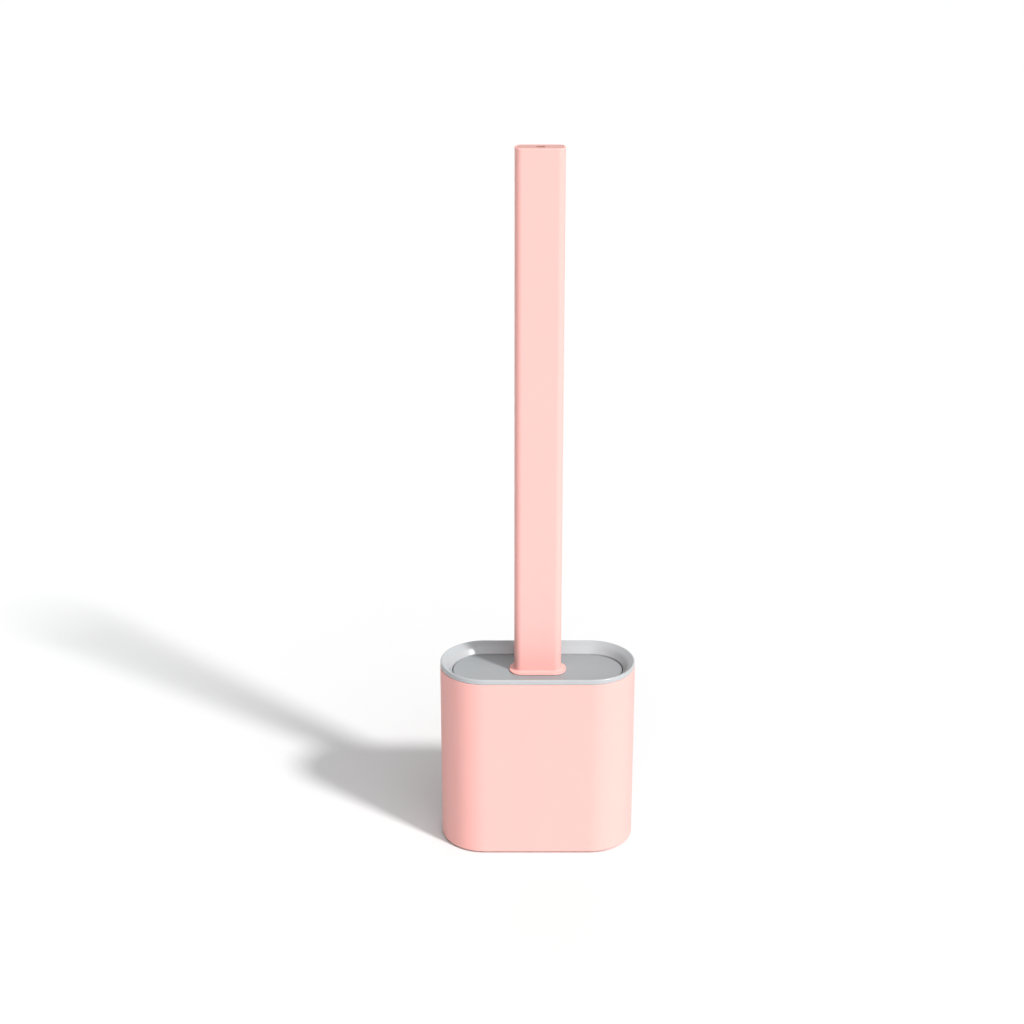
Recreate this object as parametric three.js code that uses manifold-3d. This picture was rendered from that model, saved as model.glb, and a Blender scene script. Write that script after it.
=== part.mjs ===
// Toilet brush standing in its holder.
// Millimetres, +Z up, the front faces -Y. The origin is on the floor under the middle of the holder.
// Three bodies come apart by lifting: the brush out of the liner, and the liner out of the shell.

import * as THREE from "three";
import { mergeVertices } from "three/addons/utils/BufferGeometryUtils.js";
import Module from "manifold-3d";

// ---------------------------------------------------------------------------------------------
// Driving dimensions
// ---------------------------------------------------------------------------------------------

const TOTAL_HEIGHT = 386;
const HOLDER_WIDTH = 105;
const HOLDER_DEPTH = 48.5;
const PLAY = 0.3; // gap between pieces that touch

const SHELL = { bottom: 0.8, top: 103.2, wall: 2.2, edge: 0.4 };
const SHELL_STEP = { bottom: 11.2, top: 12.6, inset: 3.8 }; // inner step that the base plate meets
const BASE_PLATE = { bottom: 1.6, floorTop: 4.2, inset: SHELL.wall + PLAY, wall: 1.8 };
const FOOT = { radius: 4, height: 2.5, x: 32, y: 12, chamfer: 0.4 };

const LINER = { bottom: 15, floor: 2, top: 106.1, outerLow: 4.4, outerHigh: 2.6, wall: 2 };
const LINER_RIM = { inset: 0.15, edge: 0.6 }; // lip that lies on the shell's top edge
const FUNNEL = { shoulder: [3.9, 104.1], foot: [6.4, 100.9] }; // insets and heights of its bends
const LINER_SEAT = { z: 98.2, inset: 8.3, height: 1.6 }; // ledge under the plate
const DRAIN = { count: 7, pitch: 12, length: 18, width: 3 };

const PLATE = { bottom: LINER_SEAT.z + PLAY, top: 100.5, inset: 6.8, bevel: 0.5 };
const PLATE_SKIRT = { inset: 9, wall: 1.6, height: 3 };

const HANDLE = { width: 25.1, depth: 9.6, corner: 3.8, wall: 2, cavityBottom: 107, edge: 0.5 };
const COLLAR = { overhang: 2.7, height: 1.5, edge: 0.5 };
const TONGUE = { width: 16, depth: 4.8, bottom: 83.6 }; // foot of the handle, through the plate
const END_CAP = { length: 9, margin: 1.1, recessWidth: 4.8, recessDepth: 2.4, recess: 1.2 };

const NECK = { width: 24, depth: 13, bottom: 80.3, edge: 1 };
const BLADE = { width: 26, depth: 3, bottom: 47 }; // stiff tongue of the core inside the soft head
const SCREW = { x: 5, z: 91, shankRadius: 1.2, headRadius: 2.6, headHeight: 1.7, length: 7 };
const SCREW_SLOT = { width: 0.7, length: 3.4, depth: 0.7 };
const COUNTERBORE_DEPTH = 2.2;

// The soft head is a superellipse paddle with bristles on both faces and round its edge.
const PADDLE = { halfWidth: 36, halfHeight: 27.5, z: 52.5, depth: 7, power: 3, bevel: 1.2 };
const BRISTLE = { length: 8, base: 1.7, tip: 0.8, pitchX: 8, pitchZ: 7.6, margin: 5 };
const EDGE_BRISTLE = { length: 3, base: 1.5, tip: 0.8, count: 30 };

const ROUND_SEGMENTS = 48; // sides of a full turn on the holder's large curves
const SMALL_SEGMENTS = 24;

// ---------------------------------------------------------------------------------------------
// Solids: closed meshes, joined and cut with manifold-3d
// ---------------------------------------------------------------------------------------------

const wasm = await Module();
wasm.setup();

// A three.js geometry as a solid, with its shared vertices merged and its empty triangles left out.
function solid(geometry) {
  const bare = geometry.clone();
  bare.deleteAttribute("normal");
  bare.deleteAttribute("uv");
  const merged = mergeVertices(bare, 1e-4);
  const index = merged.index.array;
  const triangles = [];
  for (let i = 0; i < index.length; i += 3) {
    const [a, b, c] = index.slice(i, i + 3);
    if (a !== b && b !== c && c !== a) triangles.push(a, b, c);
  }
  return new wasm.Manifold(new wasm.Mesh({
    numProp: 3,
    vertProperties: new Float32Array(merged.attributes.position.array),
    triVerts: new Uint32Array(triangles),
  }));
}

function toGeometry(manifold) {
  const mesh = manifold.getMesh();
  const positions = [];
  for (let i = 0; i < mesh.vertProperties.length; i += mesh.numProp) {
    positions.push(...mesh.vertProperties.subarray(i, i + 3));
  }
  const geometry = new THREE.BufferGeometry();
  geometry.setAttribute("position", new THREE.Float32BufferAttribute(positions, 3));
  geometry.setIndex(Array.from(mesh.triVerts));
  return geometry;
}

const join = (first, ...rest) => rest.reduce((sum, piece) => sum.add(piece), first);
const cut = (first, ...rest) => rest.reduce((left, piece) => left.subtract(piece), first);

// ---------------------------------------------------------------------------------------------
// Outlines: rectangles with round corners, long way along X. Without a corner radius of its own
// an outline is an obround, two half circles joined by straight sides.
// ---------------------------------------------------------------------------------------------

const cornerOf = ({ depth, corner = depth / 2 }) => corner;

// Turns a profile of [inset from the outline, z] pairs round an outline. The lathe's vertices
// straddle both axes, so moving its four quarters apart leaves flat faces between the corners.
function turned(outline, profile) {
  const { width, depth, segments = ROUND_SEGMENTS } = outline;
  const corner = cornerOf(outline);
  const halfStep = Math.PI / segments;
  const points = profile.map(([inset, z]) => new THREE.Vector2(
    Math.max(corner - inset, 0) / Math.cos(halfStep), z));
  const geometry = new THREE.LatheGeometry(points, segments, halfStep, 2 * Math.PI);
  geometry.rotateX(Math.PI / 2);
  const position = geometry.attributes.position;
  for (let i = 0; i < position.count; i += 1) {
    const x = position.getX(i);
    const y = position.getY(i);
    if (Math.hypot(x, y) > 1e-4) {
      position.setX(i, x + Math.sign(x) * (width / 2 - corner));
      position.setY(i, y + Math.sign(y) * (depth / 2 - corner));
    }
  }
  return solid(geometry);
}

// A filled outline: the profile runs from the axis underneath to the axis on top.
function turnedSolid(outline, profile) {
  const axis = cornerOf(outline);
  const first = [axis, profile[0][1]];
  const last = [axis, profile[profile.length - 1][1]];
  return turned(outline, [first, ...profile, last]);
}

// A hollow outline: the profile closes on itself, outside going up and inside going down.
const turnedRing = (outline, profile) => turned(outline, [...profile, profile[0]]);

// A straight bar between two heights, with its edges broken by a small bevel.
function bar(width, depth, bottom, top, shape = {}) {
  const { low = 0, high = 0, corner } = shape;
  const profile = [];
  if (low > 0) profile.push([low, bottom]);
  profile.push([0, bottom + low], [0, top - high]);
  if (high > 0) profile.push([high, top]);
  return turnedSolid({ width, depth, corner, segments: SMALL_SEGMENTS }, profile);
}

const holderOutline = { width: HOLDER_WIDTH, depth: HOLDER_DEPTH };

// ---------------------------------------------------------------------------------------------
// Holder: outer shell, base plate and feet
// ---------------------------------------------------------------------------------------------

// Open sleeve with upright sides. The step low on its inside stops the base plate.
function outerShell() {
  const { bottom, top, wall, edge } = SHELL;
  const step = SHELL_STEP;
  const stepSlope = 1.2;
  return turnedRing(holderOutline, [
    [edge, bottom],
    [0, bottom + edge],
    [0, top - edge],
    [edge, top],
    [wall, top],
    [wall, step.top + stepSlope],
    [step.inset, step.top],
    [step.inset, step.bottom],
    [wall, step.bottom],
    [wall, bottom],
  ]);
}

const footPlaces = [[-1, -1], [1, -1], [-1, 1], [1, 1]].map(([x, y]) => [x * FOOT.x, y * FOOT.y]);

// Shallow tray pushed up into the sleeve. It closes the bottom and keeps the drips.
function basePlate() {
  const { bottom, floorTop, inset, wall } = BASE_PLATE;
  const top = SHELL_STEP.bottom - PLAY;
  const tray = turnedSolid(holderOutline, [
    [inset, bottom],
    [inset, top],
    [inset + wall, top],
    [inset + wall, floorTop],
  ]);
  const recessTop = FOOT.height + PLAY;
  const recesses = footPlaces.map(([x, y]) => upright(FOOT.radius + PLAY, 0, recessTop, x, y));
  return cut(tray, ...recesses);
}

// A round upright pin between two heights.
function upright(radius, bottom, top, x = 0, y = 0) {
  const geometry = new THREE.CylinderGeometry(radius, radius, top - bottom, SMALL_SEGMENTS);
  geometry.rotateX(Math.PI / 2);
  geometry.translate(x, y, (top + bottom) / 2);
  return solid(geometry);
}

function foot() {
  const { radius, height, chamfer } = FOOT;
  const profile = [[0, 0], [radius - chamfer, 0], [radius, chamfer], [radius, height], [0, height]];
  const points = profile.map(([r, z]) => new THREE.Vector2(r, z));
  const geometry = new THREE.LatheGeometry(points, SMALL_SEGMENTS);
  geometry.rotateX(Math.PI / 2);
  return solid(geometry);
}

// ---------------------------------------------------------------------------------------------
// Inner liner: the cup that hangs by its rim on the shell and drains through its floor
// ---------------------------------------------------------------------------------------------

function innerLiner() {
  const { bottom, floor, top, outerLow, outerHigh, wall } = LINER;
  const { inset, edge } = LINER_RIM;
  const seat = LINER_SEAT;
  const corner = 2;
  const floorTop = bottom + floor;
  const rimBottom = SHELL.top + PLAY;
  const seatSlope = seat.inset - outerHigh - wall;
  const cup = turnedSolid(holderOutline, [
    [outerLow + corner, bottom],
    [outerLow, bottom + corner],
    [outerHigh, rimBottom],
    [inset, rimBottom],
    [inset, top - edge],
    [inset + edge, top],
    FUNNEL.shoulder,
    FUNNEL.foot,
    [FUNNEL.foot[0], seat.z],
    [seat.inset, seat.z],
    [seat.inset, seat.z - seat.height],
    [outerHigh + wall, seat.z - seat.height - seatSlope],
    [outerLow + wall, floorTop + corner],
    [outerLow + wall + corner, floorTop],
  ]);
  const slots = [];
  for (let i = 0; i < DRAIN.count; i += 1) {
    const x = (i - (DRAIN.count - 1) / 2) * DRAIN.pitch;
    const slot = bar(DRAIN.length, DRAIN.width, bottom - 1, floorTop + 1);
    slots.push(slot.rotate([0, 0, 90]).translate([x, 0, 0]));
  }
  return cut(cup, ...slots);
}

// ---------------------------------------------------------------------------------------------
// Brush: cover plate, handle, end cap, core, screws and soft head
// ---------------------------------------------------------------------------------------------

// Lid that rides on the brush and closes the liner. Its skirt finds the liner's seat.
function coverPlate() {
  const { bottom, top, inset, bevel } = PLATE;
  const skirt = PLATE_SKIRT;
  const lid = turnedSolid(holderOutline, [
    [skirt.inset + skirt.wall, bottom],
    [skirt.inset + skirt.wall, bottom - skirt.height],
    [skirt.inset, bottom - skirt.height],
    [skirt.inset, bottom],
    [inset, bottom],
    [inset, top - bevel],
    [inset + bevel, top],
  ]);
  const clearance = 0.4;
  const slot = bar(TONGUE.width + 2 * clearance, TONGUE.depth + 2 * clearance, bottom - 1, top + 1);
  return cut(lid, slot);
}

// Hollow flat bar with a thin collar at its foot and a tongue that goes through the cover plate.
// Its wall is thinner round the end cap, which stands on the step.
function handle() {
  const { width, depth, corner, wall, cavityBottom, edge } = HANDLE;
  const foot = PLATE.top + PLAY;
  const { overhang } = COLLAR;
  const collarShape = { high: COLLAR.edge, corner: corner + overhang };
  const cavityTop = TOTAL_HEIGHT + 1;
  const whole = join(
    bar(width, depth, foot, TOTAL_HEIGHT, { high: edge, corner }),
    bar(width + 2 * overhang, depth + 2 * overhang, foot, foot + COLLAR.height, collarShape),
    bar(TONGUE.width, TONGUE.depth, TONGUE.bottom, foot + 1, { low: edge }),
  );
  const cavity = bar(
    width - 2 * wall, depth - 2 * wall, cavityBottom, cavityTop, { corner: corner - wall });
  const { margin } = END_CAP;
  const mouthBottom = TOTAL_HEIGHT - END_CAP.length - PLAY;
  const mouth = bar(
    width - 2 * margin, depth - 2 * margin, mouthBottom, cavityTop, { corner: corner - margin });
  return cut(whole, cavity, mouth, ...screwHoles(SCREW.shankRadius + PLAY, -depth, depth));
}

// Plug in the top of the handle, with a shallow recess in the middle of its face.
function handleEndCap() {
  const { length, recessWidth, recessDepth, recess } = END_CAP;
  const shrink = END_CAP.margin + PLAY;
  const width = HANDLE.width - 2 * shrink;
  const depth = HANDLE.depth - 2 * shrink;
  const top = TOTAL_HEIGHT - 0.1;
  const plug = bar(width, depth, top - length, top, { low: 0.4, corner: HANDLE.corner - shrink });
  return cut(plug, bar(recessWidth, recessDepth, top - recess, top + 1));
}

// Screw holes along Y at both screw places, between two y values.
function screwHoles(radius, from, to) {
  return [-1, 1].map((side) => {
    const geometry = new THREE.CylinderGeometry(radius, radius, to - from, SMALL_SEGMENTS / 2);
    geometry.translate(side * SCREW.x, (from + to) / 2, SCREW.z);
    return solid(geometry);
  });
}

// Stiff core of the head: a neck with a socket for the handle's tongue, and a blade below it.
function headCore() {
  const { width, depth, bottom, edge } = NECK;
  const top = LINER_SEAT.z;
  const neck = bar(width, depth, bottom, top, { low: edge, high: 0.4 });
  const blade = bar(BLADE.width, BLADE.depth, BLADE.bottom, bottom + edge + 1, { low: 0.5 });
  const socket = bar(TONGUE.width + 2 * PLAY, TONGUE.depth + 2 * PLAY, TONGUE.bottom - PLAY, top + 1);
  const back = depth / 2;
  return cut(
    join(neck, blade),
    socket,
    ...screwHoles(SCREW.shankRadius + PLAY, 0, back + 1),
    ...screwHoles(SCREW.headRadius + PLAY, back - COUNTERBORE_DEPTH, back + 1),
  );
}

// Pan-head screw along Y, driven from the back, with a cross recess.
function headScrew(side) {
  const seat = NECK.depth / 2 - COUNTERBORE_DEPTH + PLAY;
  const shank = new THREE.CylinderGeometry(
    SCREW.shankRadius, SCREW.shankRadius, SCREW.length, SMALL_SEGMENTS / 2);
  shank.translate(0, seat + 0.5 - SCREW.length / 2, 0);
  const head = new THREE.CylinderGeometry(
    SCREW.headRadius * 0.8, SCREW.headRadius, SCREW.headHeight, SMALL_SEGMENTS);
  head.translate(0, seat + SCREW.headHeight / 2, 0);
  const slotY = seat + SCREW.headHeight - SCREW_SLOT.depth / 2 + 0.5;
  const slots = [0, Math.PI / 2].map((angle) => {
    const box = new THREE.BoxGeometry(SCREW_SLOT.length, SCREW_SLOT.depth + 1, SCREW_SLOT.width);
    box.rotateY(angle);
    box.translate(0, slotY, 0);
    return solid(box);
  });
  const screw = cut(join(solid(shank), solid(head)), ...slots);
  return screw.translate([side * SCREW.x, 0, SCREW.z]);
}

// A point of the paddle's outline, pulled in by a margin.
function paddlePoint(angle, margin = 0) {
  const { halfWidth, halfHeight, z, power } = PADDLE;
  const along = (value) => Math.sign(value) * Math.abs(value) ** (2 / power);
  return new THREE.Vector2(
    (halfWidth - margin) * along(Math.cos(angle)),
    z + (halfHeight - margin) * along(Math.sin(angle)),
  );
}

function insidePaddle(x, z, margin) {
  const u = Math.abs(x) / (PADDLE.halfWidth - margin);
  const v = Math.abs(z - PADDLE.z) / (PADDLE.halfHeight - margin);
  return u ** PADDLE.power + v ** PADDLE.power <= 1;
}

function paddle() {
  const { depth, bevel } = PADDLE;
  const corners = 56;
  const points = [];
  for (let i = 0; i < corners; i += 1) {
    points.push(paddlePoint((2 * Math.PI * i) / corners, bevel));
  }
  const geometry = new THREE.ExtrudeGeometry(new THREE.Shape(points), {
    depth: depth - 2 * bevel,
    bevelThickness: bevel,
    bevelSize: bevel,
    bevelSegments: 1,
  });
  geometry.translate(0, 0, bevel - depth / 2);
  geometry.rotateX(Math.PI / 2);
  return solid(geometry);
}

// A tapered four-sided bristle that starts inside the paddle and points along a direction.
function bristle({ length, base, tip }, root, direction) {
  const overlap = 0.6;
  const geometry = new THREE.CylinderGeometry(tip, base, length + overlap, 4);
  geometry.translate(0, (length - overlap) / 2, 0);
  const turn = new THREE.Quaternion().setFromUnitVectors(new THREE.Vector3(0, 1, 0), direction);
  geometry.applyQuaternion(turn);
  geometry.translate(root.x, root.y, root.z);
  return solid(geometry);
}

function faceBristles(side) {
  const found = [];
  const direction = new THREE.Vector3(0, side, 0);
  const rows = 8;
  const columns = 9;
  for (let row = 0; row < rows; row += 1) {
    const z = PADDLE.z + (row - (rows - 1) / 2) * BRISTLE.pitchZ;
    const shift = row % 2 === 0 ? 0 : BRISTLE.pitchX / 2;
    for (let column = 0; column < columns; column += 1) {
      const x = (column - (columns - 1) / 2) * BRISTLE.pitchX + shift;
      if (insidePaddle(x, z, BRISTLE.margin)) {
        const root = new THREE.Vector3(x, (side * PADDLE.depth) / 2, z);
        found.push(bristle(BRISTLE, root, direction));
      }
    }
  }
  return found;
}

// Short bristles round the paddle's edge, left out where the neck comes down on it.
function edgeBristles() {
  const found = [];
  for (let i = 0; i < EDGE_BRISTLE.count; i += 1) {
    const angle = (2 * Math.PI * (i + 0.5)) / EDGE_BRISTLE.count;
    const rim = paddlePoint(angle, 0.2);
    const besideNeck = Math.abs(rim.x) < NECK.width / 2 + 4;
    if (!(besideNeck && rim.y > PADDLE.z)) {
      const root = new THREE.Vector3(rim.x, 0, rim.y);
      const direction = new THREE.Vector3(Math.cos(angle), 0, Math.sin(angle));
      found.push(bristle(EDGE_BRISTLE, root, direction));
    }
  }
  return found;
}

// Soft head moulded over the core's blade.
function brushHead() {
  const pocket = bar(
    BLADE.width + 2 * PLAY, BLADE.depth + 2 * PLAY, BLADE.bottom - PLAY, NECK.bottom + 5);
  const whole = join(paddle(), ...faceBristles(-1), ...faceBristles(1), ...edgeBristles());
  return cut(whole, pocket);
}

// ---------------------------------------------------------------------------------------------
// Materials and the assembled group
// ---------------------------------------------------------------------------------------------

const pinkPlastic = new THREE.MeshStandardMaterial({ color: 0xf6c4b9, roughness: 0.45, metalness: 0 });
const capPink = new THREE.MeshStandardMaterial({ color: 0xdeaba0, roughness: 0.5, metalness: 0 });
const greyPlastic = new THREE.MeshStandardMaterial({ color: 0xc9cccd, roughness: 0.35, metalness: 0 });
const plateGrey = new THREE.MeshStandardMaterial({ color: 0x999d9e, roughness: 0.4, metalness: 0 });
const palePlastic = new THREE.MeshStandardMaterial({ color: 0xe9e9e6, roughness: 0.4, metalness: 0 });
const softRubber = new THREE.MeshStandardMaterial({ color: 0xb9bcbe, roughness: 0.6, metalness: 0 });
const footRubber = new THREE.MeshStandardMaterial({ color: 0x6d6f71, roughness: 0.8, metalness: 0 });
const steel = new THREE.MeshStandardMaterial({ color: 0xc0c2c4, roughness: 0.3, metalness: 1 });

function named(name, manifold, material) {
  const mesh = new THREE.Mesh(toGeometry(manifold), material);
  mesh.name = name;
  return mesh;
}

const holder = new THREE.Group();
holder.add(named("outer_shell", outerShell(), pinkPlastic));
holder.add(named("base_plate", basePlate(), greyPlastic));
footPlaces.forEach(([x, y], index) => {
  const mesh = named(`foot_${index + 1}`, foot(), footRubber);
  mesh.position.set(x, y, 0);
  holder.add(mesh);
});

const liner = new THREE.Group();
liner.add(named("inner_liner", innerLiner(), greyPlastic));

const brush = new THREE.Group();
brush.add(named("cover_plate", coverPlate(), plateGrey));
brush.add(named("handle", handle(), pinkPlastic));
brush.add(named("handle_end_cap", handleEndCap(), capPink));
brush.add(named("head_core", headCore(), palePlastic));
brush.add(named("head_screw_left", headScrew(-1), steel));
brush.add(named("head_screw_right", headScrew(1), steel));
brush.add(named("brush_head", brushHead(), softRubber));

const toiletBrushSet = new THREE.Group();
toiletBrushSet.add(holder, liner, brush);

export default toiletBrushSet;
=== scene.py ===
import math
import random

import bmesh
import bpy
from mathutils import Matrix, Vector


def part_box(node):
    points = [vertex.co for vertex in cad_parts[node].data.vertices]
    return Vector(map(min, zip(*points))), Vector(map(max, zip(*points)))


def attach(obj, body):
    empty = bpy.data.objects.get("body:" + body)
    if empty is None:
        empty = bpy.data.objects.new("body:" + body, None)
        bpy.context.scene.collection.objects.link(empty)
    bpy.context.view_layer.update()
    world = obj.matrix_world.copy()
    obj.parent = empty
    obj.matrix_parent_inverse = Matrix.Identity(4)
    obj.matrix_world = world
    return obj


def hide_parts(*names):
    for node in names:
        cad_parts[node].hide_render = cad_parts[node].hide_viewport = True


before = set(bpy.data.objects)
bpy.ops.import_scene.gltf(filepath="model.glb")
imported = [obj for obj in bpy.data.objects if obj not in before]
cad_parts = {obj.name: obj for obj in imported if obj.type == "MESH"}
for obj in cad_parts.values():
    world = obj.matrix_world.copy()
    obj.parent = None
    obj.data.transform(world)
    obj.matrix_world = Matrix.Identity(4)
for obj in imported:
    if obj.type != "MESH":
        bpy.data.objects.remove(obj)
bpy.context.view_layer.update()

# A toilet brush standing in its holder. Metres, +Z up, the front faces -Y.
# Every large outline is an obround: two half circles joined by straight sides, long way along X.

MM = 0.001


# ---------------------------------------------------------------------------------------------
# Measures: boxes from the frame, and the walls, gaps and radii that a box doesn't hold
# ---------------------------------------------------------------------------------------------


def size(node):
    low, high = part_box(node)
    return high - low


SHELL_LOW, SHELL_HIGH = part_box("outer_shell")
LINER_LOW, LINER_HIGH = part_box("inner_liner")
PLATE_LOW, PLATE_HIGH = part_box("cover_plate")
TRAY_LOW, TRAY_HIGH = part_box("base_plate")
HANDLE_LOW, HANDLE_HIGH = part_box("handle")
CAP_LOW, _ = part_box("handle_end_cap")
CORE_LOW, CORE_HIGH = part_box("head_core")
_, HEAD_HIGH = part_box("brush_head")

EDGE = SHELL_HIGH.y  # the holder's half depth, which is its end radius
STRAIGHT = SHELL_HIGH.x - EDGE  # half the length of its straight sides

LINER_FLOOR = 2 * MM
SEAT = PLATE_LOW.z + 2.7 * MM  # the liner's ledge, just under the cover plate
SEAT_INSET = 8.3 * MM
PLATE_EDGE = PLATE_HIGH.y
PLATE_TOP = PLATE_HIGH.z
PLATE_BOTTOM = SEAT + 0.15 * MM

COLLAR_OVERHANG = 2.7 * MM
BAR_CORNER = 3.8 * MM
BAR_FLAT = HANDLE_HIGH.y - COLLAR_OVERHANG - BAR_CORNER  # half the flat length of its narrow sides
BAR_STRAIGHT = HANDLE_HIGH.x - COLLAR_OVERHANG - BAR_CORNER
BAR_WALL = 2 * MM
BAR_MOUTH = 1.1 * MM  # its thinner wall round the end plug
COLLAR_BOTTOM = PLATE_TOP + 0.12 * MM
COLLAR_TOP = PLATE_TOP + 0.9 * MM
TONGUE_RADIUS = 2.4 * MM
TONGUE_STRAIGHT = 5.6 * MM

NECK_RADIUS = CORE_HIGH.y
NECK_STRAIGHT = 5.5 * MM
NECK_BOTTOM = HEAD_HIGH.z - 0.9 * MM
BLADE_RADIUS = 1.5 * MM
BLADE_STRAIGHT = 11.5 * MM
SCREW_Z = 91 * MM
SCREW_X = 5 * MM  # each screw's distance from the middle
SCREW_HOLE = 1.35 * MM
SCREW_HEAD = 2.6 * MM
BEYOND = 8 * MM  # a depth that is past every face of the neck


# ---------------------------------------------------------------------------------------------
# Mesh building
# ---------------------------------------------------------------------------------------------

END_STEPS = 40  # steps round each half circle of an obround
SMALL_STEPS = 20


def rounded(corners, steps=5):
    """Profile points with the corners rounded. A corner is (inset, z, radius)."""
    points = []
    for i, (inset, z, radius) in enumerate(corners):
        corner = Vector((inset, z, 0))
        if radius == 0:
            points.append((inset, z))
            continue
        before = Vector((*corners[i - 1][:2], 0)) - corner
        after = Vector((*corners[(i + 1) % len(corners)][:2], 0)) - corner
        before.normalize()
        after.normalize()
        half = before.angle(after) / 2
        centre = corner + (before + after).normalized() * radius / math.sin(half)
        start = (corner + before * radius / math.tan(half) - centre).normalized()
        end = (corner + after * radius / math.tan(half) - centre).normalized()
        for k in range(steps + 1):
            point = centre + start.slerp(end, k / steps) * radius
            points.append((point.x, point.y))
    return points


def obround(straight, radius, z, steps=END_STEPS, flat=0):
    """Points round an obround, anticlockwise from above.

    It is a circle where straight is 0, and a rectangle with round corners where flat, half the
    length of its narrow sides' flats, is more than 0."""
    if straight == 0:
        turn = [math.tau * i / (2 * steps) for i in range(2 * steps)]
        return [(radius * math.cos(a), radius * math.sin(a), z) for a in turn]
    points = []
    for side, start in ((1, -math.pi / 2), (-1, math.pi / 2)):
        for i in range(steps + 1):
            angle = start + math.pi * i / steps
            quarter = 0 if 2 * i == steps else math.copysign(flat, math.sin(angle))
            x = side * straight + radius * math.cos(angle)
            points.append((x, quarter + radius * math.sin(angle), z))
    return points


def rings(profile, straight=STRAIGHT, radius=EDGE, steps=END_STEPS, flat=0):
    """One obround for each (inset, z) of a profile."""
    return [obround(straight, radius - inset, z, steps, flat) for inset, z in profile]


def add_loft(mesh, loops, closed=False):
    """Skins the loops, and closes both ends with a flat face unless the last joins the first."""
    rows = [[mesh.verts.new(point) for point in loop] for loop in loops]
    pairs = list(zip(rows, rows[1:]))
    if closed:
        pairs.append((rows[-1], rows[0]))
    for lower, upper in pairs:
        for i in range(len(lower)):
            j = (i + 1) % len(lower)
            mesh.faces.new((lower[i], lower[j], upper[j], upper[i]))
    if not closed:
        mesh.faces.new(rows[0][::-1])
        mesh.faces.new(rows[-1])


def to_object(name, mesh):
    data = bpy.data.meshes.new(name)
    mesh.to_mesh(data)
    mesh.free()
    piece = bpy.data.objects.new(name, data)
    bpy.context.scene.collection.objects.link(piece)
    return piece


def loft(name, loops, closed=False):
    mesh = bmesh.new()
    add_loft(mesh, loops, closed)
    return to_object(name, mesh)


def apply_modifiers(piece):
    graph = bpy.context.evaluated_depsgraph_get()
    data = bpy.data.meshes.new_from_object(piece.evaluated_get(graph))
    piece.modifiers.clear()
    piece.data = data


def merge_slivers(piece):
    """Takes away faces and edges with no size, which cuts and bevels can leave."""
    mesh = bmesh.new()
    mesh.from_mesh(piece.data)
    bmesh.ops.dissolve_degenerate(mesh, dist=0.003 * MM, edges=mesh.edges)
    mesh.to_mesh(piece.data)
    mesh.free()


def carve(piece, cutter):
    """Cuts one object out of another, and removes the cutter."""
    modifier = piece.modifiers.new("cut", "BOOLEAN")
    modifier.operation = "DIFFERENCE"
    modifier.solver = "EXACT"
    modifier.object = cutter
    bpy.context.view_layer.update()
    apply_modifiers(piece)
    merge_slivers(piece)
    bpy.data.objects.remove(cutter)


def soften(piece, width=0.25 * MM, angle=38):
    """Breaks the remaining sharp edges, and shades flats flat and curves smooth."""
    for face in piece.data.polygons:
        face.use_smooth = True
    if width > 0:
        bevel = piece.modifiers.new("edges", "BEVEL")
        bevel.width = width
        bevel.segments = 2
        bevel.limit_method = "ANGLE"
        bevel.angle_limit = math.radians(angle)
        bevel.use_clamp_overlap = True
        apply_modifiers(piece)
        merge_slivers(piece)
    normals = piece.modifiers.new("normals", "WEIGHTED_NORMAL")
    normals.weight = 60
    apply_modifiers(piece)


def finish_piece(piece, body, nodes, material):
    piece.data.materials.clear()
    piece.data.materials.append(material)
    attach(piece, body)
    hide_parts(*nodes)
    return piece


# ---------------------------------------------------------------------------------------------
# Materials
# ---------------------------------------------------------------------------------------------


NOISE_LOW, NOISE_HIGH = 0.3, 0.7  # a noise's value hardly ever leaves this span


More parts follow.
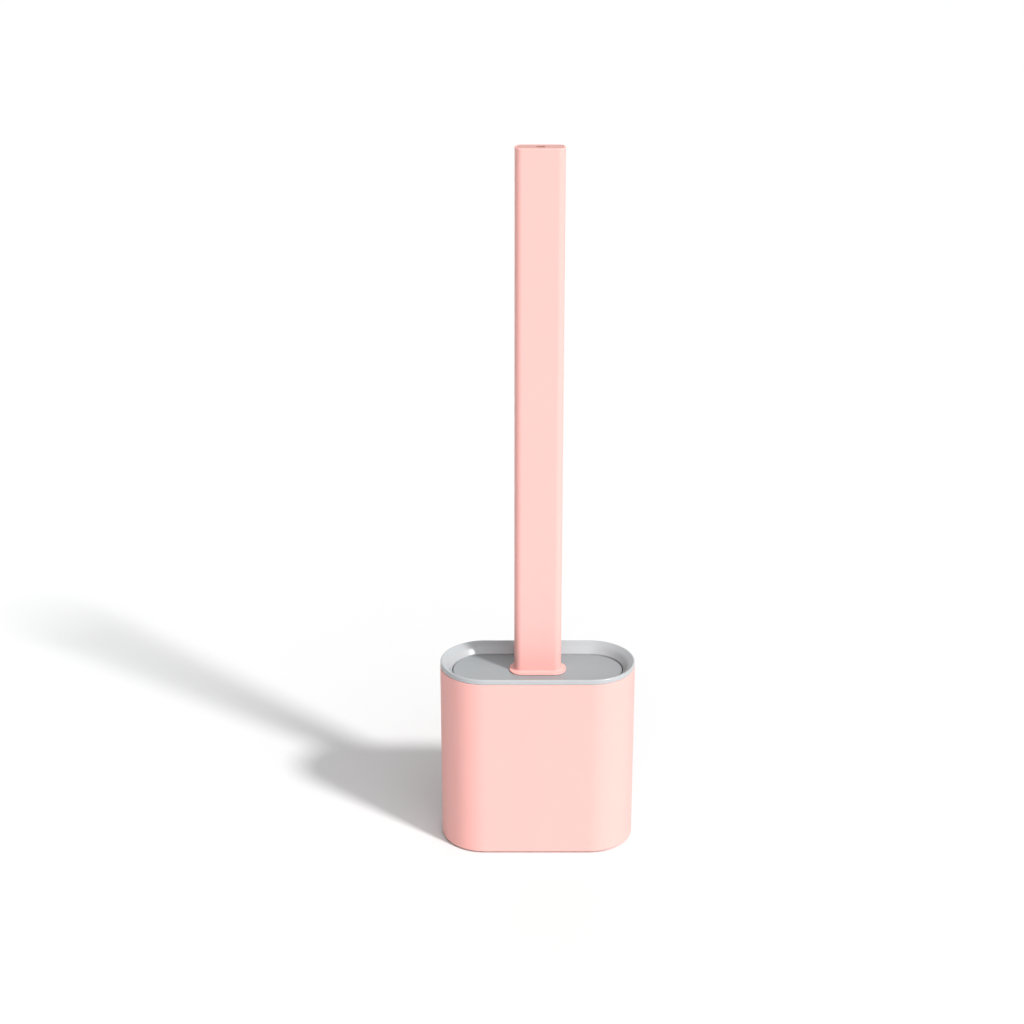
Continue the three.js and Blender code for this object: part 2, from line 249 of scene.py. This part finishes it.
class Nodes:
    """A material's node tree, with short ways to add and join nodes."""

    def __init__(self, name):
        self.material = bpy.data.materials.new(name)
        self.material.use_nodes = True
        self.tree = self.material.node_tree
        self.shader = self.tree.nodes["Principled BSDF"]
        coordinates = self.tree.nodes.new("ShaderNodeTexCoord")
        self.place = coordinates.outputs["Object"]

    def set(self, **values):
        for name, value in values.items():
            self.shader.inputs[name.replace("_", " ")].default_value = value

    def link(self, output, socket):
        self.tree.links.new(output, self.shader.inputs[socket])

    def noise(self, scale, detail=3, stretch=(1, 1, 1)):
        mapping = self.tree.nodes.new("ShaderNodeMapping")
        mapping.inputs["Scale"].default_value = stretch
        self.tree.links.new(self.place, mapping.inputs["Vector"])
        node = self.tree.nodes.new("ShaderNodeTexNoise")
        node.inputs["Scale"].default_value = scale
        node.inputs["Detail"].default_value = detail
        self.tree.links.new(mapping.outputs["Vector"], node.inputs["Vector"])
        return node.outputs["Fac"]

    def span(self, value, low, high):
        """A noise's value, mapped to low..high."""
        node = self.tree.nodes.new("ShaderNodeMapRange")
        node.inputs["From Min"].default_value = NOISE_LOW
        node.inputs["From Max"].default_value = NOISE_HIGH
        node.inputs["To Min"].default_value = low
        node.inputs["To Max"].default_value = high
        self.tree.links.new(value, node.inputs["Value"])
        return node.outputs["Result"]

    def ramp(self, value, first, last):
        """A noise's value as a colour, from the first colour to the last."""
        node = self.tree.nodes.new("ShaderNodeValToRGB")
        elements = node.color_ramp.elements
        elements[0].position = NOISE_LOW
        elements[1].position = NOISE_HIGH
        elements[0].color = (*first, 1)
        elements[1].color = (*last, 1)
        self.tree.links.new(value, node.inputs["Fac"])
        return node.outputs["Color"]

    def bumps(self, *layers):
        """Stacks bumps. A layer is (height output, depth in metres, strength)."""
        last = None
        for height, depth, strength in layers:
            node = self.tree.nodes.new("ShaderNodeBump")
            node.inputs["Distance"].default_value = depth
            node.inputs["Strength"].default_value = strength
            self.tree.links.new(height, node.inputs["Height"])
            if last is not None:
                self.tree.links.new(last, node.inputs["Normal"])
            last = node.outputs["Normal"]
        self.link(last, "Normal")


def shade(colour, factor):
    return tuple(channel * factor for channel in colour)


def moulded_plastic(name, colour, roughness, texture, variation=0.03, sinks=0.06, specular=0.5):
    """Injection-moulded plastic: a faint flow mottle, a fine skin and slightly uneven gloss.

    The texture and the sinks are the strengths of the skin's grain and of the faces' waviness."""
    uneven = 0.03
    nodes = Nodes(name)
    flow = nodes.noise(38, detail=4, stretch=(1, 1, 0.35))
    dark, light = shade(colour, 1 - variation), shade(colour, 1 + variation)
    nodes.link(nodes.ramp(flow, dark, light), "Base Color")
    gloss = nodes.noise(160, detail=5)
    nodes.link(nodes.span(gloss, roughness - uneven, roughness + uneven), "Roughness")
    skin = nodes.noise(3800, detail=2)
    waviness = nodes.noise(45, detail=1)
    nodes.bumps((skin, 0.03 * MM, texture), (waviness, 0.2 * MM, sinks))
    nodes.set(IOR=1.49, Specular_IOR_Level=specular)
    nodes.set(Subsurface_Weight=0.06, Subsurface_Scale=0.002)
    return nodes.material


def soft_rubber(name, colour, roughness):
    """Soft moulded rubber: matte, slightly translucent, with a fine dusty grain."""
    nodes = Nodes(name)
    cloud = nodes.noise(70, detail=4)
    nodes.link(nodes.ramp(cloud, shade(colour, 0.93), shade(colour, 1.05)), "Base Color")
    nodes.link(nodes.span(nodes.noise(400, detail=4), roughness - 0.07, roughness + 0.07), "Roughness")
    nodes.bumps((nodes.noise(2600, detail=3), 0.04 * MM, 0.35))
    nodes.set(IOR=1.43, Subsurface_Weight=0.15, Subsurface_Scale=0.003)
    return nodes.material


def turned_steel(name, colour):
    """Stainless steel with a fine grain and small differences in polish."""
    nodes = Nodes(name)
    grain = nodes.noise(900, detail=6, stretch=(1, 6, 1))
    nodes.link(nodes.ramp(grain, shade(colour, 0.8), colour), "Base Color")
    nodes.link(nodes.span(grain, 0.22, 0.42), "Roughness")
    nodes.bumps((grain, 0.02 * MM, 0.3))
    nodes.set(Metallic=1.0)
    return nodes.material


PINK = (0.85, 0.435, 0.4)
# The handle's pink darkened for the end plug: painted shade on the handle's top face.
CAP_SHADE_PINK = (0.6, 0.32, 0.285)
# A dark pink for the inside of the end plug's recess: painted shade in the recess.
RECESS_SHADE_PINK = (0.34, 0.165, 0.145)
GREY = (0.42, 0.435, 0.446)
PLATE_GREY = (0.312, 0.326, 0.336)
CORE_WHITE = (0.72, 0.72, 0.7)
HEAD_GREY = (0.42, 0.43, 0.44)
FOOT_BLACK = (0.12, 0.125, 0.13)
STEEL = (0.62, 0.63, 0.64)

pink_plastic = moulded_plastic("pink_plastic", PINK, 0.48, 0.12, 0.012, sinks=0.04, specular=0.3)
# The end plug's darker pink is painted shade on the top face, not a different plastic.
cap_plastic = moulded_plastic("cap_plastic", CAP_SHADE_PINK, 0.5, 0.15, 0.015, specular=0.3)
# The recess material's dark pink is painted shade in the recess.
recess_shade_plastic = moulded_plastic("recess_shade_plastic", RECESS_SHADE_PINK, 0.6, 0.2, 0.02, specular=0.2)
grey_plastic = moulded_plastic("grey_plastic", GREY, 0.24, 0.015, 0.012, sinks=0.01)
plate_plastic = moulded_plastic("plate_plastic", PLATE_GREY, 0.38, 0.12, 0.02)
core_plastic = moulded_plastic("core_plastic", CORE_WHITE, 0.4, 0.15)
head_rubber = soft_rubber("head_rubber", HEAD_GREY, 0.58)
foot_rubber = soft_rubber("foot_rubber", FOOT_BLACK, 0.75)
screw_steel = turned_steel("screw_steel", STEEL)


# ---------------------------------------------------------------------------------------------
# Holder: shell, base tray and feet
# ---------------------------------------------------------------------------------------------


def shell_sleeve():
    wall = 2.2 * MM
    step = 3.8 * MM
    step_bottom = TRAY_HIGH.z + 0.3 * MM
    step_top = step_bottom + 1.4 * MM
    bottom, top = SHELL_LOW.z, SHELL_HIGH.z
    profile = rounded([
        (0, bottom, 0.6 * MM),
        (0, top, 0.5 * MM),
        (wall, top, 0.4 * MM),
        (wall, step_top + 1.2 * MM, 0.5 * MM),
        (step, step_top, 0.3 * MM),
        (step, step_bottom, 0.2 * MM),
        (wall, step_bottom, 0.2 * MM),
        (wall, bottom, 0.5 * MM),
    ])
    piece = loft("shell_sleeve", rings(profile), closed=True)
    soften(piece, 0)
    return finish_piece(piece, "holder", ["outer_shell"], pink_plastic)


def upright_pins(name, places, radius, bottom, top):
    """Round pins for cutting holes, all in one object."""
    mesh = bmesh.new()
    for x, y in places:
        loops = [obround(0, radius, z, SMALL_STEPS) for z in (bottom, top)]
        add_loft(mesh, [[(px + x, py + y, pz) for px, py, pz in loop] for loop in loops])
    return to_object(name, mesh)


def foot_places():
    places = []
    for number in range(1, 5):
        low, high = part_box(f"foot_{number}")
        places.append(((low.x + high.x) / 2, (low.y + high.y) / 2))
    return places


def base_tray():
    inset = EDGE - TRAY_HIGH.y
    wall = 1.8 * MM
    floor_top = TRAY_LOW.z + 2.6 * MM
    profile = rounded([
        (inset + 2 * MM, TRAY_LOW.z, 0),
        (inset, TRAY_LOW.z, 0.5 * MM),
        (inset, TRAY_HIGH.z, 0.5 * MM),
        (inset + wall, TRAY_HIGH.z, 0.5 * MM),
        (inset + wall, floor_top, 1.5 * MM),
        (inset + 4.5 * MM, floor_top, 0),
    ])
    piece = loft("base_tray", rings(profile))
    foot_size = size("foot_1")
    recess_top = foot_size.z + 0.15 * MM
    radius = foot_size.x / 2 + 0.2 * MM
    carve(piece, upright_pins("recesses", foot_places(), radius, 0, recess_top))
    soften(piece)
    return finish_piece(piece, "holder", ["base_plate"], grey_plastic)


def foot_pads():
    """Rubber discs with a rounded tread and a shallow dimple in the middle of it."""
    radius = size("foot_1").x / 2
    top = size("foot_1").z
    dimple = 0.35 * MM
    for number, (x, y) in enumerate(foot_places(), start=1):
        profile = rounded([
            (radius - 1.2 * MM, dimple, 0),
            (radius - 1.8 * MM, dimple, 0.3 * MM),
            (radius - 2.2 * MM, 0, 0.2 * MM),
            (0, 0, 0.6 * MM),
            (0, top, 0.2 * MM),
            (radius - 1.2 * MM, top, 0),
        ])
        piece = loft(f"foot_pad_{number}", rings(profile, 0, radius, SMALL_STEPS))
        piece.data.transform(Matrix.Translation((x, y, 0)))
        soften(piece, 0)
        finish_piece(piece, "holder", [f"foot_{number}"], foot_rubber)


# ---------------------------------------------------------------------------------------------
# Liner
# ---------------------------------------------------------------------------------------------


def drain_slots():
    """Cutters for the row of slots across the liner's floor, long way along Y."""
    count, pitch = 7, 12 * MM
    half_length, radius = 7.5 * MM, 1.5 * MM
    steps = 8
    mesh = bmesh.new()
    for i in range(count):
        x = (i - (count - 1) / 2) * pitch
        bottom, top = LINER_LOW.z - 2 * MM, LINER_LOW.z + LINER_FLOOR + 2 * MM
        loops = [obround(half_length, radius, z, steps) for z in (bottom, top)]
        add_loft(mesh, [[(x - py, px, pz) for px, py, pz in loop] for loop in loops])
    return to_object("drain_slots", mesh)


def liner_cup():
    """Cup that hangs by its rim. The rim turns over into a crowned funnel down to the seat."""
    outer_low, outer_high, wall = 4.4 * MM, 2.6 * MM, 2 * MM
    rim = EDGE - LINER_HIGH.y
    rim_bottom = SHELL_HIGH.z + 0.15 * MM
    bottom, floor_top = LINER_LOW.z, LINER_LOW.z + LINER_FLOOR
    top = LINER_HIGH.z
    shoulder, shoulder_z = 3.9 * MM, top - 2 * MM
    funnel, funnel_z = 6.4 * MM, PLATE_TOP + 0.4 * MM
    seat_drop = 1.6 * MM
    slope = SEAT_INSET - outer_high - wall
    profile = rounded([
        (outer_low + 5 * MM, bottom, 0),
        (outer_low, bottom, 2.5 * MM),
        (outer_high, rim_bottom, 0.2 * MM),
        (rim, rim_bottom, 0.25 * MM),
        (rim, top, 0.65 * MM),
        (rim + 0.8 * MM, top, 0.4 * MM),
        (shoulder, shoulder_z, 7 * MM),
        (funnel, funnel_z, 0.8 * MM),
        (funnel, SEAT, 0.3 * MM),
        (SEAT_INSET, SEAT, 0.4 * MM),
        (SEAT_INSET, SEAT - seat_drop, 0.4 * MM),
        (outer_high + wall, SEAT - seat_drop - slope, 2 * MM),
        (outer_low + wall, floor_top, 3 * MM),
        (outer_low + wall + 6 * MM, floor_top, 0),
    ], steps=7)
    piece = loft("liner_cup", rings(profile))
    carve(piece, drain_slots())
    soften(piece, 0.2 * MM)
    return finish_piece(piece, "liner", ["inner_liner"], grey_plastic)


# ---------------------------------------------------------------------------------------------
# Brush: cover plate, handle, end cap, core, screws and head
# ---------------------------------------------------------------------------------------------


def cover_lid():
    inset = EDGE - PLATE_EDGE
    skirt_inset, skirt_wall = 9 * MM, 1.6 * MM
    skirt_bottom = PLATE_LOW.z
    profile = rounded([
        (skirt_inset + skirt_wall + 2 * MM, PLATE_BOTTOM, 0),
        (skirt_inset + skirt_wall, PLATE_BOTTOM, 0.5 * MM),
        (skirt_inset + skirt_wall, skirt_bottom, 0.4 * MM),
        (skirt_inset, skirt_bottom, 0.6 * MM),
        (skirt_inset, PLATE_BOTTOM, 0.3 * MM),
        (inset, PLATE_BOTTOM, 0.3 * MM),
        (inset, PLATE_TOP, 0.6 * MM),
        (inset + 2 * MM, PLATE_TOP, 0),
    ])
    piece = loft("cover_lid", rings(profile))
    gap = 0.2 * MM
    slot = [
        obround(TONGUE_STRAIGHT, TONGUE_RADIUS + gap, z, SMALL_STEPS)
        for z in (PLATE_BOTTOM - MM, PLATE_TOP + MM)
    ]
    carve(piece, loft("slot", slot))
    soften(piece, 0.15 * MM)
    return finish_piece(piece, "brush", ["cover_plate"], plate_plastic)


def screw_pins(name, radius, start, end):
    """Cutters along Y at both screw places."""
    mesh = bmesh.new()
    for side in (-1, 1):
        loops = [obround(0, radius, depth, 12) for depth in (start, end)]
        x = side * SCREW_X
        add_loft(mesh, [[(px + x, pz, SCREW_Z - py) for px, py, pz in loop] for loop in loops])
    return to_object(name, mesh)


def handle_bar():
    """Hollow flat bar. It flares into a thin collar, and its tongue goes down through the plate."""
    tongue = rounded([
        (1.2 * MM, HANDLE_LOW.z, 0),
        (0, HANDLE_LOW.z, 0.5 * MM),
        (0, COLLAR_BOTTOM, 0),
    ])
    overhang = -COLLAR_OVERHANG
    flare = COLLAR_TOP + 0.45 * MM
    inner = BAR_WALL
    cavity_floor = COLLAR_TOP + 5 * MM
    mouth_floor = CAP_LOW.z - 0.1 * MM
    body = rounded([
        (overhang + 1 * MM, COLLAR_BOTTOM, 0),
        (overhang, COLLAR_BOTTOM, 0.25 * MM),
        (overhang, COLLAR_TOP, 0.5 * MM),
        (overhang + 1.5 * MM, COLLAR_TOP + 0.05 * MM, 0.5 * MM),
        (0, flare, 0.5 * MM),
        (0, HANDLE_HIGH.z, 0.5 * MM),
        (BAR_MOUTH, HANDLE_HIGH.z, 0.2 * MM),
        (BAR_MOUTH, mouth_floor, 0.15 * MM),
        (inner, mouth_floor, 0.2 * MM),
        (inner, cavity_floor, 0.8 * MM),
        (inner + 1.5 * MM, cavity_floor, 0),
    ], steps=6)
    loops = rings(tongue, TONGUE_STRAIGHT, TONGUE_RADIUS)
    loops += rings(body, BAR_STRAIGHT, BAR_CORNER, flat=BAR_FLAT)
    piece = loft("handle_bar", loops)
    carve(piece, screw_pins("holes", SCREW_HOLE, -BEYOND, BEYOND))
    soften(piece, 0.12 * MM, 50)
    return finish_piece(piece, "brush", ["handle"], pink_plastic)


def end_plug():
    """Plug in the handle's top, with a small obround recess in the middle. Its pink is a darker copy
    of the handle's pink: painted shade on the top face.
    """
    radius = BAR_CORNER - BAR_MOUTH - 0.08 * MM
    recess_radius, recess_straight, recess = 1.2 * MM, 1.2 * MM, 1.2 * MM
    top = HANDLE_HIGH.z - 0.05 * MM
    outer = rounded([
        (1.5 * MM, CAP_LOW.z, 0),
        (0, CAP_LOW.z, 0.5 * MM),
        (0, top, 0.25 * MM),
        (0.8 * MM, top, 0),
    ])
    inner = rounded([
        (-0.4 * MM, top, 0),
        (0, top, 0.2 * MM),
        (0.1 * MM, top - recess, 0.3 * MM),
        (0.6 * MM, top - recess, 0),
    ])
    loops = rings(outer, BAR_STRAIGHT, radius, SMALL_STEPS, BAR_FLAT)
    loops += rings(inner, recess_straight, recess_radius, SMALL_STEPS)
    piece = loft("end_plug", loops)
    soften(piece, 0)
    finish_piece(piece, "brush", ["handle_end_cap"], cap_plastic)
    # The faces inside the recess take the dark pink: painted shade in the recess.
    piece.data.materials.append(recess_shade_plastic)
    reach = recess_radius + recess_straight + 0.2 * MM
    lip = 0.12 * MM
    for face in piece.data.polygons:
        below_lip = top - 1.3 * recess < face.center.z < top - lip
        if below_lip and face.center.xy.length < reach:
            face.material_index = 1
    return piece


def core_neck():
    """Stiff core: a neck with a socket for the tongue, and a blade that the soft head grips."""
    blade = rounded([
        (0.8 * MM, CORE_LOW.z, 0),
        (0, CORE_LOW.z, 0.5 * MM),
        (0, NECK_BOTTOM, 0),
    ])
    gap = 0.15 * MM
    neck = rounded([
        (2.5 * MM, NECK_BOTTOM, 0),
        (0, NECK_BOTTOM, 1.4 * MM),
        (0, CORE_HIGH.z, 0.5 * MM),
        (1.5 * MM, CORE_HIGH.z, 0),
    ])
    socket = rounded([
        (-0.6 * MM, CORE_HIGH.z, 0),
        (0, CORE_HIGH.z, 0.3 * MM),
        (0, HANDLE_LOW.z - gap, 0.5 * MM),
        (1 * MM, HANDLE_LOW.z - gap, 0),
    ])
    loops = rings(blade, BLADE_STRAIGHT, BLADE_RADIUS)
    loops += rings(neck, NECK_STRAIGHT, NECK_RADIUS)
    loops += rings(socket, TONGUE_STRAIGHT, TONGUE_RADIUS + gap)
    piece = loft("core_neck", loops)
    carve(piece, screw_pins("holes", SCREW_HOLE, 1 * MM, BEYOND))
    counterbore = NECK_RADIUS - 2.2 * MM
    carve(piece, screw_pins("counterbores", SCREW_HEAD + 0.2 * MM, counterbore, BEYOND))
    soften(piece, 0.2 * MM)
    return finish_piece(piece, "brush", ["head_core"], core_plastic)


def cross_slot(turn):
    """One slot of a screw head's cross recess, tapering inwards, cut from above along -Z."""
    bottom, top = (0.9, 0.25, -0.9), (1.5, 0.38, 0.6)
    loops = []
    for half_length, half_width, z in (bottom, top):
        corners = [(-1, -1), (1, -1), (1, 1), (-1, 1)]
        loop = [Vector((sx * half_length * MM, sy * half_width * MM, z * MM)) for sx, sy in corners]
        loops.append([Matrix.Rotation(turn, 3, "Z") @ point for point in loop])
    return loft("slot", loops)


def thread_rings(radius, ridge, pitch, low, high):
    """Rings of a threaded shank: a ridge that climbs by one pitch a turn and fades at both ends."""
    per_pitch, per_turn = 10, 24
    half_ridge = 0.28  # half the ridge's width, in pitches
    tip_length, tip_taper = 1.4 * MM, 0.35
    steps = round((high - low) / pitch * per_pitch)
    loops = []
    for k in range(steps + 1):
        z = low + (high - low) * k / steps
        fade = min(1, 2 * k / per_pitch) * min(1, 2 * (steps - k) / per_pitch)
        loop = []
        taper = 1 - tip_taper * max(0, 1 - (z - low) / tip_length)
        for i in range(per_turn):
            turn = i / per_turn
            phase = (z / pitch - turn) % 1
            height = max(0, 1 - abs(phase - 0.5) / half_ridge) * ridge * fade
            spread = (radius + height) * taper
            loop.append((spread * math.cos(math.tau * turn), spread * math.sin(math.tau * turn), z))
        loops.append(loop)
    return loops


def head_screw(side):
    """Pan-head screw. It is made upright, then laid along Y with its head at the back."""
    node = "head_screw_left" if side < 0 else "head_screw_right"
    low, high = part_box(node)
    head_height = 1.7 * MM
    radius, ridge, pitch = 1.0 * MM, 0.2 * MM, 0.8 * MM
    steps = 12
    shank = thread_rings(radius, ridge, pitch, low.y - high.y, -head_height)
    head = [
        obround(0, SCREW_HEAD * math.cos(angle), -head_height * (1 - math.sin(angle)), steps)
        for angle in [math.radians(a) for a in range(0, 80, 10)]
    ]
    seat = [radius + ridge, SCREW_HEAD - 0.1 * MM]
    rim = [obround(0, spread, -head_height, steps) for spread in seat]
    piece = loft(f"screw_{'left' if side < 0 else 'right'}", shank + rim + head)
    for turn in (0, math.pi / 2):
        carve(piece, cross_slot(turn))
    piece.data.transform(Matrix.Rotation(math.radians(-90), 4, "X"))
    piece.data.transform(Matrix.Translation(((low.x + high.x) / 2, high.y, SCREW_Z)))
    soften(piece, 0.06 * MM, 50)
    return finish_piece(piece, "brush", [node], screw_steel)


# The soft head is a superellipse paddle, moulded in one with its bristles.

PADDLE_DEPTH = 7 * MM
BRISTLE_LENGTH = HEAD_HIGH.y - PADDLE_DEPTH / 2
EDGE_BRISTLE = 3 * MM
BRISTLE_ROOT = 1.0 * MM  # radius
PADDLE_WIDE = HEAD_HIGH.x - EDGE_BRISTLE + 0.25 * MM  # half its width
PADDLE_TALL = 27.5 * MM  # half its height
PADDLE_POWER = 3
HEAD_CENTRE = HEAD_HIGH.z - 1.7 * MM - PADDLE_TALL


def paddle_point(angle, inset=0.0):
    """A point of the paddle's outline, as (x, z)."""
    across, along = math.cos(angle), math.sin(angle)
    power = 2 / PADDLE_POWER
    x = (PADDLE_WIDE - inset) * math.copysign(abs(across) ** power, across)
    z = (PADDLE_TALL - inset) * math.copysign(abs(along) ** power, along)
    return x, HEAD_CENTRE + z


def inside_paddle(x, z, inset):
    across = abs(x) / (PADDLE_WIDE - inset)
    along = abs(z - HEAD_CENTRE) / (PADDLE_TALL - inset)
    return across**PADDLE_POWER + along**PADDLE_POWER <= 1


def soft_paddle():
    """The paddle: crowned faces, a rounded edge and a pocket for the core's blade."""
    half = PADDLE_DEPTH / 2
    steps, edge_steps = 96, 12
    edge_inset, edge_height = 2.6 * MM, 0.86
    edge = []
    for k in range(edge_steps + 1):
        turn = math.pi * k / edge_steps - math.pi / 2
        edge.append((edge_inset * (1 - math.cos(turn)), half * edge_height * math.sin(turn)))
    crown = [(6 * MM, 0.93), (12 * MM, 0.98), (20 * MM, 1.0)]
    front = [(inset, -half * height) for inset, height in reversed(crown)]
    back = [(inset, half * height) for inset, height in crown]
    loops = []
    for inset, y in front + edge + back:
        loop = []
        for i in range(steps):
            x, z = paddle_point(math.tau * i / steps, inset)
            loop.append((x, y, z))
        loops.append(loop)
    piece = loft("soft_paddle", [loop[::-1] for loop in loops])
    gap = 0.15 * MM
    pocket = [
        obround(BLADE_STRAIGHT, BLADE_RADIUS + gap, z, SMALL_STEPS)
        for z in (CORE_LOW.z - gap, HEAD_HIGH.z + 4 * MM)
    ]
    carve(piece, loft("pocket", pocket))
    soften(piece, 0.3 * MM)
    return finish_piece(piece, "brush", ["brush_head"], head_rubber)


def add_bristle(mesh, root, direction, length, base, tip):
    """A tapered bristle with a flared root and a round tip."""
    turn = Vector((0, 0, 1)).rotation_difference(direction).to_matrix()
    stations = [(-0.6 * MM, base * 1.25), (0.1 * MM, base * 1.25), (0.7 * MM, base)]
    stations += [(length * 0.55, base + (tip - base) * 0.6), (length - tip, tip)]
    stations += [(length - tip * 0.3, tip * 0.72), (length, tip * 0.25)]
    loops = []
    for along, radius in stations:
        loops.append([root + turn @ Vector(point) for point in obround(0, radius, along, 5)])
    add_loft(mesh, loops)


def fringe_places(inset, pitch):
    """Points at even steps along the paddle's outline, each with its outward direction."""
    steps = 2000
    outline = [paddle_point(math.tau * i / steps, inset) for i in range(steps)]
    places = []
    travelled = 0
    for i, here in enumerate(outline):
        before, after = outline[i - 1], outline[(i + 1) % steps]
        travelled += math.dist(before, here)
        if travelled >= pitch:
            travelled -= pitch
            outward = Vector((after[1] - before[1], 0, before[0] - after[0]))
            places.append((here, outward.normalized()))
    return places


def soft_bristles():
    """Rows of bristles on both faces, staggered, and a short fringe round the edge."""
    scatter = random.Random(7)
    mesh = bmesh.new()
    pitch_x, pitch_z = 4.3 * MM, 3.9 * MM
    margin = 3.2 * MM  # bare edge of each face
    most_lean = 0.035
    rows = int(PADDLE_TALL / pitch_z)
    columns = int(PADDLE_WIDE / pitch_x)
    for side in (-1, 1):
        for row in range(-rows, rows + 1):
            for column in range(-columns, columns + 1):
                x = (column + (row % 2) / 2) * pitch_x
                z = HEAD_CENTRE + row * pitch_z
                if not inside_paddle(x, z, margin):
                    continue
                lean = Vector((scatter.uniform(-1, 1), 0, scatter.uniform(-1, 1))) * most_lean
                direction = (Vector((0, side, 0)) + lean).normalized()
                root = Vector((x, side * PADDLE_DEPTH * 0.46, z))
                length = BRISTLE_LENGTH * scatter.uniform(0.95, 1.0)
                add_bristle(mesh, root, direction, length, BRISTLE_ROOT, 0.55 * MM)
    sunk, fringe_pitch = 0.3 * MM, 3.2 * MM
    by_neck = NECK_STRAIGHT + NECK_RADIUS + 3 * MM
    length = EDGE_BRISTLE - 0.2 * MM
    for (x, z), direction in fringe_places(sunk, fringe_pitch):
        if abs(x) < by_neck and z > HEAD_CENTRE:
            continue
        add_bristle(mesh, Vector((x, 0, z)), direction, length, BRISTLE_ROOT, 0.6 * MM)
    piece = to_object("soft_bristles", mesh)
    soften(piece, 0)
    return finish_piece(piece, "brush", ["brush_head"], head_rubber)


# ---------------------------------------------------------------------------------------------
# Stage
# ---------------------------------------------------------------------------------------------


def add_floor():
    mesh = bmesh.new()
    half = 60
    sides = ((-half, -half), (half, -half), (half, half), (-half, half))
    mesh.faces.new([mesh.verts.new((x, y, 0)) for x, y in sides])
    floor = to_object("floor", mesh)
    nodes = Nodes("floor")
    nodes.set(Base_Color=(0.77, 0.77, 0.77, 1), Roughness=0.7, Specular_IOR_Level=0.15)
    floor.data.materials.append(nodes.material)


def glow(tree, middle, edge, strength):
    """Light from the room's wall round one direction, fading to none where the cosine is edge."""
    coordinates = tree.nodes.new("ShaderNodeTexCoord")
    facing = tree.nodes.new("ShaderNodeVectorMath")
    facing.operation = "DOT_PRODUCT"
    facing.inputs[1].default_value = Vector(middle).normalized()
    fade = tree.nodes.new("ShaderNodeMapRange")
    fade.inputs["From Min"].default_value = edge
    fade.inputs["To Max"].default_value = strength
    tree.links.new(coordinates.outputs["Generated"], facing.inputs[0])
    tree.links.new(facing.outputs["Value"], fade.inputs["Value"])
    return fade.outputs["Result"]


def add_lights():
    """A key from the right, in front and above, a soft top light, and a room with two pale walls."""
    key = bpy.data.lights.new("key", "SUN")
    key.energy = 2.92
    key.angle = math.radians(7)
    key.color = (1, 0.997, 0.99)
    lamp = bpy.data.objects.new("key", key)
    towards = Vector((0.56, -0.475, 0.68))
    lamp.rotation_euler = towards.to_track_quat("Z", "Y").to_euler()
    bpy.context.scene.collection.objects.link(lamp)

    top = bpy.data.lights.new("top", "SUN")
    top.energy = 0.48
    top.angle = math.radians(60)
    bpy.context.scene.collection.objects.link(bpy.data.objects.new("top", top))

    world = bpy.data.worlds.new("room")
    bpy.context.scene.world = world
    world.use_nodes = True
    tree = world.node_tree
    front = glow(tree, middle=(0.3, -0.85, 0.4), edge=0.55, strength=2.12)
    back = glow(tree, middle=(-0.1, 0.98, 0.15), edge=0.25, strength=1.0)
    both = tree.nodes.new("ShaderNodeMath")
    both.operation = "ADD"
    tree.links.new(front, both.inputs[0])
    tree.links.new(back, both.inputs[1])
    background = tree.nodes["Background"]
    tree.links.new(both.outputs["Value"], background.inputs["Strength"])
    background.inputs["Color"].default_value = (0.98, 0.99, 1, 1)


def add_camera():
    """Stands in front, a little to the left, and looks down on the holder."""
    data = bpy.data.cameras.new("camera")
    data.sensor_width = 36
    data.lens = 75.02
    camera = bpy.data.objects.new("camera", data)
    camera.location = (-13.8 * MM, -1027.6 * MM, 626.8 * MM)
    pitch = 22.91
    camera.rotation_euler = (math.radians(90 - pitch), 0, 0)
    bpy.context.scene.collection.objects.link(camera)
    bpy.context.scene.camera = camera


add_camera()
add_lights()
add_floor()
bpy.context.scene.view_settings.view_transform = "Standard"

shell_sleeve()
base_tray()
foot_pads()
liner_cup()
cover_lid()
handle_bar()
end_plug()
core_neck()
head_screw(-1)
head_screw(1)
soft_paddle()
soft_bristles()
